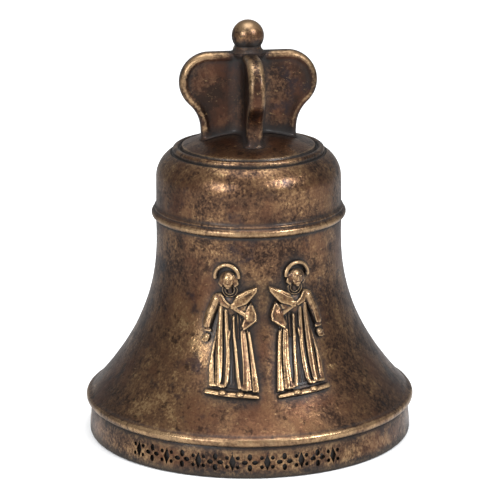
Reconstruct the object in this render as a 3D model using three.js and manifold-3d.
// A small cast bronze church bell that stands on its lip.
//
// The bell shell is a hollow casting. A four-lobed crown sits on its head and is the grip. A staple bolt
// goes up through the head into the crown, so that one bolt holds the crown and hangs the clapper. The
// clapper swings on a clevis pin between the two ears of the staple and strikes the inside of the lip.
// Two robed figures, each the mirror of the other, are applied to the front of the waist.
//
// Millimetres, +Z up, the origin at the centre of the ring that the bell stands on, the figures on the -Y side.

import * as THREE from "three";
import { mergeVertices } from "three/addons/utils/BufferGeometryUtils.js";
import Module from "manifold-3d";

const wasm = await Module();
wasm.setup();

// ---------------------------------------------------------------- driving dimensions

const TURNED_STEPS = 64; // facets round the bell and what lies on it
const SMALL_STEPS = 24; // facets round the small turned pieces
const CASTING_GAP = 0.3; // between castings that sit on each other
const FIT_GAP = 0.1; // between a pin or a shank and its hole

// Bell shell, outside. The waist flares to the lip as a power curve.
const BAND_FOOT_RADIUS = 40.2;
const BAND_TOP_RADIUS = 39.6;
const BAND_TOP = 7.9;
const LIP_BEAD = { r: 39.75, z: 9.25, size: 1.3 };
const WAIST_RADIUS = 22.95;
const WAIST_HEIGHT = 50.4;
const FLARE = { reach: 17, span: 40, power: 2.2 };
const FLARE_START = 10.4;
const FLARE_STEPS = 15;
const WAIST_BEAD = { r: 22.95, z: 56, size: 1.15 };
const SHOULDER_RADIUS = 22.87;
const SHOULDER_ARC = { r: 15.5, z: 64.8, size: 7.37 };
const HEAD_RING = { r: 17.7, z: 71.75, size: 1.05 };
const HEAD_EDGE = { r: 16.4, z: 72.75 };
const HEAD_TOP = 76.2;

// Bell shell, inside.
const MOUTH_RADIUS = 36;
const INNER_WAIST_RADIUS = 19.2;
const INNER_FLARE = { reach: 16.2, span: 50, power: 1.42 };
const INNER_HEAD = 70.2;
const INNER_CORNER = 6;

// Crown
const LOBE = { r: 9.6, z: 88.7, size: 7.4 };
const NECK_RADIUS = 11.8;
const NECK_HEIGHT = 76.8;
const NECK_ARC = 8.8;
const CROWN_TOP = LOBE.z + LOBE.size;
const FIN_THICKNESS = 4.1;
const FIN_EDGE = 1.3; // rounding of the fin's edges
const RIM_WIDTH = 1.7;
const WEB_DEPTH = 0.5; // how far the web lies below the rim, on each face
const CORE_RADIUS = 3.6;
const BALL_RADIUS = 3.95;
const BALL_HEIGHT = 99.8;
const BALL_NECK = 3.3;
const SPIGOT = { radius: 1.3, length: 4.5 };

// Staple, which hangs the clapper
const BOLT_RADIUS = 2;
const BOLT_TOP = 86;
const WASHER = { radius: 5, thickness: 1 };
const NUT = { flats: 7, height: 3 };
const BRIDGE = { height: 1.9, width: 7, depth: 9 };
const PIVOT_HEIGHT = 58.5;
const EAR = { inner: 2.6, thickness: 1.9, radius: 3 };
const PIN = { radius: 1.2, head: 2.1, headThickness: 1, tail: 7 };
const KEEPER = { wire: 0.4, reach: 3.2, at: 5.9 };

// Clapper
const EYE = { radius: 4, thickness: 3 };
const BUSH_WALL = 0.7;
const SIDE_WASHER = { radius: 3, thickness: 0.45 };
const ROD = { top: 1.6, bottom: 2 };
const CLAPPER_BALL = { radius: 7.5, z: 11.4 };
const TAIL = { radius: 2.8, top: 4.2, bottom: 2.2, thread: 1.2 };

// Reliefs: heights above the wall, and where they stand
const FIGURE_AZIMUTH = 17; // degrees to each side of the front
const RELIEF = { halo: 0.9, gown: 1.5, arm: 1.7, plinth: 2, head: 2.1, book: 2.2 };
const RELIEF_FOOT = 18.4;
const RELIEF_TOP = 49;

// ---------------------------------------------------------------- solids

// A geometry as a solid with its faces pointing out.
function solid(geometry) {
  const g = geometry.index ? geometry.toNonIndexed() : geometry.clone();
  g.deleteAttribute("normal");
  g.deleteAttribute("uv");
  const merged = mergeVertices(g, 1e-4);
  const vertProperties = new Float32Array(merged.attributes.position.array);
  const triVerts = new Uint32Array(merged.index.array);
  const made = new wasm.Manifold(new wasm.Mesh({ numProp: 3, vertProperties, triVerts }));
  if (made.volume() > 0) return made;
  for (let i = 0; i < triVerts.length; i += 3) {
    [triVerts[i + 1], triVerts[i + 2]] = [triVerts[i + 2], triVerts[i + 1]];
  }
  return new wasm.Manifold(new wasm.Mesh({ numProp: 3, vertProperties, triVerts }));
}

function geometryOf(body) {
  const { vertProperties, triVerts } = body.getMesh();
  const g = new THREE.BufferGeometry();
  g.setAttribute("position", new THREE.BufferAttribute(new Float32Array(vertProperties), 3));
  g.setIndex(new THREE.BufferAttribute(new Uint32Array(triVerts), 1));
  g.computeVertexNormals();
  return g;
}

const joined = (first, ...others) => others.reduce((body, other) => body.add(other), first);
const cut = (first, ...others) => others.reduce((body, other) => body.subtract(other), first);

// Turns a closed outline of (radius, height) points round +Z.
function turned(points, steps = TURNED_STEPS) {
  const ring = [...points, points[0]].map(([r, z]) => new THREE.Vector2(r, z));
  return solid(new THREE.LatheGeometry(ring, steps).rotateX(Math.PI / 2));
}

// A ring or, with no inner radius, a disc or rod along +Z.
function tube(outer, inner, bottom, top, steps = SMALL_STEPS) {
  return turned([[inner, bottom], [outer, bottom], [outer, top], [inner, top]], steps);
}

// Extrudes an outline of (x, z) points by thickness along Y, centred on the XZ plane.
function slab(shape, thickness, edge = 0, curveSegments = 12) {
  const options = { depth: thickness - 2 * edge, curveSegments, bevelEnabled: edge > 0 };
  Object.assign(options, { bevelThickness: edge, bevelSize: edge, bevelOffset: -edge, bevelSegments: 3 });
  const g = new THREE.ExtrudeGeometry(shape, options);
  return solid(g.translate(0, 0, edge - thickness / 2).rotateX(Math.PI / 2));
}

const outline = (points) => new THREE.Shape(points.map(([x, z]) => new THREE.Vector2(x, z)));

// Lays a body that was made along +Z along +Y, with its middle at height z.
const layAlongY = (body, z) => body.rotate([-90, 0, 0]).translate([0, 0, z]);

// Points of an arc from one angle to another, in degrees, both ends included.
function arc({ r, z, size }, from, to, steps) {
  return Array.from({ length: steps + 1 }, (_, i) => {
    const angle = THREE.MathUtils.degToRad(from + ((to - from) * i) / steps);
    return [r + size * Math.cos(angle), z + size * Math.sin(angle)];
  });
}

// ---------------------------------------------------------------- bell shell

const powerCurve = ({ reach, span, power }, height) => reach * (Math.abs(height) / span) ** power;
const wallRadius = (z) => WAIST_RADIUS + powerCurve(FLARE, WAIST_HEIGHT - z);
const innerRadius = (z) => INNER_WAIST_RADIUS + powerCurve(INNER_FLARE, Math.max(0, INNER_FLARE.span - z));

// Heights from one level to another, evenly spaced, both ends included.
const levels = (from, to, steps) => Array.from({ length: steps + 1 }, (_, i) => from + ((to - from) * i) / steps);

// The head's domed top between the rings, from its edge to the axis.
function headDome(lift = 0, innermost = 0, steps = 4) {
  const { r: edge, z: foot } = HEAD_EDGE;
  return levels(edge, innermost, steps).map((r) => [r, foot + (HEAD_TOP - foot) * (1 - (r / edge) ** 2) + lift]);
}

function bellShell() {
  const boltHole = BOLT_RADIUS + CASTING_GAP;
  const outside = [
    [MOUTH_RADIUS, 0],
    [BAND_FOOT_RADIUS - 0.7, 0],
    [BAND_FOOT_RADIUS, 0.7],
    [BAND_TOP_RADIUS, BAND_TOP],
    ...arc(LIP_BEAD, -90, 45, 4),
    ...levels(FLARE_START, WAIST_BEAD.z - WAIST_BEAD.size, FLARE_STEPS).map((z) => [wallRadius(z), z]),
    ...arc(WAIST_BEAD, -80, 80, 5),
    ...arc(SHOULDER_ARC, 0, 60, 6),
    [HEAD_RING.r + HEAD_RING.size, HEAD_RING.z - 0.3],
    ...arc(HEAD_RING, 20, 135, 4),
    ...headDome(0, boltHole),
  ];
  const corner = { r: INNER_WAIST_RADIUS - INNER_CORNER, z: INNER_HEAD - INNER_CORNER, size: INNER_CORNER };
  const inside = [
    [boltHole, INNER_HEAD],
    ...arc(corner, 90, 0, 4),
    ...levels(INNER_FLARE.span, 1.2, 8).map((z) => [innerRadius(z), z]),
  ];
  return turned([...outside, ...inside]);
}

// ---------------------------------------------------------------- crown

// Half of the crown's outline seen from the front, shrunk by inset all round: the neck, then the lobe.
function lobeOutline(inset, foot) {
  const neck = { r: NECK_RADIUS + NECK_ARC, z: NECK_HEIGHT, size: NECK_ARC + inset };
  const lobe = { ...LOBE, size: LOBE.size - inset };
  const slope = THREE.MathUtils.radToDeg(Math.atan2(neck.z - lobe.z, neck.r - lobe.r));
  return [[neck.r - neck.size, foot], ...arc(neck, 180, slope + 180, 6), ...arc(lobe, slope, 90, 12)];
}

function crownPlate() {
  const right = lobeOutline(0, NECK_HEIGHT - 4);
  const left = right.map(([x, z]) => [-x, z]).reverse();
  const plate = slab(outline([...right, ...left]), FIN_THICKNESS, FIN_EDGE);
  const top = RIM_WIDTH * 1.4;
  const web = lobeOutline(RIM_WIDTH, NECK_HEIGHT + 1).map(([x, z]) => [x, Math.min(z, CROWN_TOP - top)]);
  const dish = slab(outline([...web, [CORE_RADIUS + 1, CROWN_TOP - top], [CORE_RADIUS + 1, NECK_HEIGHT + 1]]), 4);
  const offset = FIN_THICKNESS / 2 - WEB_DEPTH + 2;
  const dishes = [-1, 1].flatMap((side) => [dish, dish.mirror([1, 0, 0])].map((d) => d.translate([0, side * offset, 0])));
  return cut(plate, ...dishes);
}

function crown() {
  const plate = crownPlate();
  const core = tube(CORE_RADIUS, 0, NECK_HEIGHT - 4, CROWN_TOP);
  const bell = turned([[0, NECK_HEIGHT - 8], [HEAD_EDGE.r, NECK_HEIGHT - 8], ...headDome(CASTING_GAP)]);
  const boltHole = tube(BOLT_RADIUS + CASTING_GAP, 0, NECK_HEIGHT - 6, BOLT_TOP + 1);
  const socket = tube(SPIGOT.radius + FIT_GAP, 0, CROWN_TOP - SPIGOT.length - 0.5, CROWN_TOP + 1);
  return cut(joined(plate, plate.rotate([0, 0, 90]), core), bell, boltHole, socket);
}

function finialBall() {
  const seat = CROWN_TOP + CASTING_GAP;
  const angle = THREE.MathUtils.radToDeg(Math.acos(BALL_NECK / BALL_RADIUS));
  return turned(
    [
      [0, CROWN_TOP - SPIGOT.length],
      [SPIGOT.radius, CROWN_TOP - SPIGOT.length],
      [SPIGOT.radius, seat],
      [BALL_NECK + 0.4, seat],
      ...arc({ r: 0, z: BALL_HEIGHT, size: BALL_RADIUS }, -angle, 90, 10),
    ],
    SMALL_STEPS,
  );
}

// ---------------------------------------------------------------- staple

const BRIDGE_BOTTOM = PIVOT_HEIGHT + EYE.radius + 0.8;
const NUT_BOTTOM = BRIDGE_BOTTOM + BRIDGE.height + CASTING_GAP;
const WASHER_BOTTOM = NUT_BOTTOM + NUT.height + CASTING_GAP;

function stapleBolt() {
  const shank = tube(BOLT_RADIUS, 0, BRIDGE_BOTTOM + 1, BOLT_TOP);
  const bridge = solid(
    new THREE.BoxGeometry(BRIDGE.width, BRIDGE.depth, BRIDGE.height).translate(0, 0, BRIDGE_BOTTOM + BRIDGE.height / 2),
  );
  const half = BRIDGE.width / 2;
  const side = new THREE.Shape().moveTo(half, BRIDGE_BOTTOM + 0.5).lineTo(-half, BRIDGE_BOTTOM + 0.5);
  side.lineTo(-EAR.radius, PIVOT_HEIGHT).absarc(0, PIVOT_HEIGHT, EAR.radius, Math.PI, 2 * Math.PI);
  const ear = slab(side, EAR.thickness);
  const offset = EAR.inner + EAR.thickness / 2;
  const ears = [-offset, offset].map((y) => ear.translate([0, y, 0]));
  const hole = layAlongY(tube(PIN.radius + FIT_GAP, 0, -8, 8), PIVOT_HEIGHT);
  return cut(joined(shank, bridge, ...ears), hole);
}

const stapleWasher = () => tube(WASHER.radius, BOLT_RADIUS + FIT_GAP, WASHER_BOTTOM, WASHER_BOTTOM + WASHER.thickness);

function stapleNut() {
  const across = NUT.flats / 2 / Math.cos(Math.PI / 6);
  const chamfer = 0.4;
  const hexagon = solid(
    new THREE.CylinderGeometry(across, across, NUT.height, 6).rotateX(Math.PI / 2).translate(0, 0, NUT_BOTTOM + NUT.height / 2),
  );
  const top = NUT_BOTTOM + NUT.height;
  const faced = turned(
    [
      [0, NUT_BOTTOM],
      [across - chamfer, NUT_BOTTOM],
      [across, NUT_BOTTOM + chamfer],
      [across, top - chamfer],
      [across - chamfer, top],
      [0, top],
    ],
    SMALL_STEPS,
  );
  return cut(hexagon.intersect(faced), tube(BOLT_RADIUS + FIT_GAP, 0, NUT_BOTTOM - 1, top + 1));
}

// The clevis pin: its head is on the -Y side, and the split keeper goes through its other end.
function clapperPin() {
  const headAt = -(EAR.inner + EAR.thickness + FIT_GAP);
  const shank = tube(PIN.radius, 0, headAt - 0.5, PIN.tail);
  const head = tube(PIN.head, 0, headAt - PIN.headThickness, headAt);
  const pin = layAlongY(joined(shank, head), PIVOT_HEIGHT);
  const hole = tube(KEEPER.wire + FIT_GAP, 0, PIVOT_HEIGHT - 3, PIVOT_HEIGHT + 3, 12).translate([0, KEEPER.at, 0]);
  return cut(pin, hole);
}

// A split pin: a loop on top, a leg through the clevis pin, and its end bent aside below.
function pinKeeper() {
  const top = PIVOT_HEIGHT + PIN.radius + 0.5;
  const path = new THREE.CatmullRomCurve3(
    [
      [0, 1.1, top + 1],
      [0, 1.1, top + 1.9],
      [0, 0.2, top + 2.4],
      [0, -0.5, top + 1.6],
      [0, -0.1, top + 0.5],
      [0, 0, top - 0.5],
      [0, 0, PIVOT_HEIGHT - 1.6],
      [0, 0.3, PIVOT_HEIGHT - 2.4],
      [0, 1.6, PIVOT_HEIGHT - KEEPER.reach],
    ].map(([x, y, z]) => new THREE.Vector3(x, y + KEEPER.at, z)),
  );
  const section = new THREE.Shape().absarc(0, 0, KEEPER.wire, 0, 2 * Math.PI);
  return solid(new THREE.ExtrudeGeometry(section, { steps: 20, curveSegments: 6, extrudePath: path, bevelEnabled: false }));
}

// ---------------------------------------------------------------- clapper

const EYE_HOLE = PIN.radius + FIT_GAP + BUSH_WALL + FIT_GAP;

function clapperRod() {
  const eye = layAlongY(tube(EYE.radius, 0, -EYE.thickness / 2, EYE.thickness / 2), PIVOT_HEIGHT);
  const shaft = turned(
    [
      [0, TAIL.top - 1.4],
      [TAIL.thread, TAIL.top - 1.4],
      [TAIL.thread, TAIL.top + 0.6],
      [ROD.bottom, CLAPPER_BALL.z],
      [ROD.bottom, CLAPPER_BALL.z + CLAPPER_BALL.radius + 3],
      [ROD.top, PIVOT_HEIGHT - EYE.radius - 4],
      [ROD.top, PIVOT_HEIGHT - EYE.radius + 0.6],
      [0, PIVOT_HEIGHT - EYE.radius + 0.6],
    ],
    SMALL_STEPS,
  );
  return cut(joined(eye, shaft), layAlongY(tube(EYE_HOLE, 0, -3, 3), PIVOT_HEIGHT));
}

function eyeBush() {
  const half = EYE.thickness / 2;
  return layAlongY(tube(EYE_HOLE - FIT_GAP, PIN.radius + FIT_GAP, -half, half), PIVOT_HEIGHT);
}

function sideWasher(side) {
  const near = EYE.thickness / 2 + 0.25;
  const ring = tube(SIDE_WASHER.radius, PIN.radius + FIT_GAP, near, near + SIDE_WASHER.thickness);
  return layAlongY(ring, PIVOT_HEIGHT).rotate([0, 0, side < 0 ? 180 : 0]);
}

// The ball slides up the rod onto its taper, and the tail is a cap nut that keeps it there.
function clapperBall() {
  const bore = turned(
    [
      [0, 0],
      [TAIL.thread + FIT_GAP, 0],
      [TAIL.thread + FIT_GAP, TAIL.top + 0.6 + FIT_GAP],
      [ROD.bottom + FIT_GAP, CLAPPER_BALL.z],
      [ROD.bottom + FIT_GAP, CLAPPER_BALL.z + 12],
      [0, CLAPPER_BALL.z + 12],
    ],
    SMALL_STEPS,
  );
  const ball = turned(arc({ r: 0, ...CLAPPER_BALL, size: CLAPPER_BALL.radius }, -90, 90, 14), 36);
  const flat = tube(5, 0, 0, TAIL.top + CASTING_GAP);
  return cut(ball, bore, flat);
}

function clapperTail() {
  const nut = turned(
    [
      [0, TAIL.bottom],
      [TAIL.radius * 0.5, TAIL.bottom],
      [TAIL.radius, TAIL.bottom + 0.8],
      [TAIL.radius, TAIL.top],
      [0, TAIL.top],
    ],
    SMALL_STEPS,
  );
  return cut(nut, tube(TAIL.thread + FIT_GAP, 0, TAIL.top - 1.7, TAIL.top + 1));
}

// ---------------------------------------------------------------- figures

// A layer that follows the wall of the waist, from the casting gap to height above the wall.
function wallLayer(height) {
  const steps = levels(RELIEF_FOOT - 1, RELIEF_TOP + 1, 8);
  const outer = steps.map((z) => [wallRadius(z) + height, z]);
  const inner = steps.map((z) => [wallRadius(z) + CASTING_GAP, z]).reverse();
  return turned([...outer, ...inner]);
}

// What an outline of (across, height) points covers of the layer with that height above the wall.
function raised(shape, height) {
  const forward = slab(shape, 60, 0, 8).translate([0, -30, 0]);
  return wallLayer(height).intersect(forward);
}

const ellipse = (x, z, width, height) => new THREE.Shape().absellipse(x, z, width / 2, height / 2, 0, 2 * Math.PI);

// The figure that stands left of the front: a haloed person in a long gown, with an open book.
function robedFigure() {
  const gown = outline([
    [-5.3, 20.2],
    [7.1, 20],
    [6, 24],
    [4.4, 29],
    [3.2, 33],
    [3.4, 38],
    [1.6, 40.4],
    [-0.2, 41.8],
    [-2.6, 41.8],
    [-4.4, 40],
    [-4, 36],
    [-3.9, 32],
    [-5.3, 27],
  ]);
  const arm = outline([
    [-3, 41.2],
    [-4.9, 39.4],
    [-6.5, 35.6],
    [-7.4, 32],
    [-7.8, 30.2],
    [-6.6, 29.5],
    [-5.6, 30.2],
    [-4.4, 35],
    [-3.4, 37.5],
  ]);
  const sleeve = outline([
    [2, 39.5],
    [3.6, 39.5],
    [5.7, 36.2],
    [5, 34.8],
    [2.4, 33.2],
    [1.2, 35.6],
  ]);
  const book = outline([
    [-1.6, 38],
    [0.6, 37.6],
    [3.4, 39.2],
    [5.2, 42.6],
    [1.8, 41],
    [-1, 39.4],
  ]);
  const plinth = outline([
    [-6.2, 18.6],
    [7.4, 18.4],
    [7.4, 19.4],
    [5, 20.4],
    [-4, 20.5],
    [-6.2, 19.8],
  ]);
  const halo = ellipse(-2, 45, 6.8, 7);
  const head = ellipse(-1.4, 44, 3.8, 5);
  return joined(
    raised(gown, RELIEF.gown),
    raised(arm, RELIEF.arm),
    raised(sleeve, RELIEF.arm),
    raised(book, RELIEF.book),
    raised(plinth, RELIEF.plinth),
    raised(halo, RELIEF.halo),
    raised(head, RELIEF.head),
  );
}

// ---------------------------------------------------------------- materials and assembly

const bronze = new THREE.MeshStandardMaterial({ color: 0x6f5230, roughness: 0.45, metalness: 0.9 });
const rubbedBronze = new THREE.MeshStandardMaterial({ color: 0xa8843f, roughness: 0.35, metalness: 0.9 });
const steel = new THREE.MeshStandardMaterial({ color: 0x5c5a57, roughness: 0.5, metalness: 1 });
const brass = new THREE.MeshStandardMaterial({ color: 0xb08d4a, roughness: 0.35, metalness: 1 });
const nylon = new THREE.MeshStandardMaterial({ color: 0xd8d2c0, roughness: 0.6, metalness: 0 });

const part = new THREE.Group();

function place(name, body, material) {
  const mesh = new THREE.Mesh(geometryOf(body), material);
  mesh.name = name;
  part.add(mesh);
  return mesh;
}

place("bell_shell", bellShell(), bronze);
place("crown", crown(), bronze);
place("finial_ball", finialBall(), rubbedBronze);

const figure = robedFigure();
const turn = THREE.MathUtils.degToRad(FIGURE_AZIMUTH);
place("figure_left", figure, rubbedBronze).rotation.z = -turn;
place("figure_right", figure.mirror([1, 0, 0]), rubbedBronze).rotation.z = turn;

place("staple_bolt", stapleBolt(), steel);
place("staple_washer", stapleWasher(), brass);
place("staple_nut", stapleNut(), steel);
place("clapper_pin", clapperPin(), steel);
place("pin_keeper", pinKeeper(), steel);
place("side_washer_front", sideWasher(-1), brass);
place("side_washer_back", sideWasher(1), brass);

place("clapper_rod", clapperRod(), steel);
place("eye_bush", eyeBush(), nylon);
place("clapper_ball", clapperBall(), steel);
place("clapper_tail", clapperTail(), brass);

export default part;
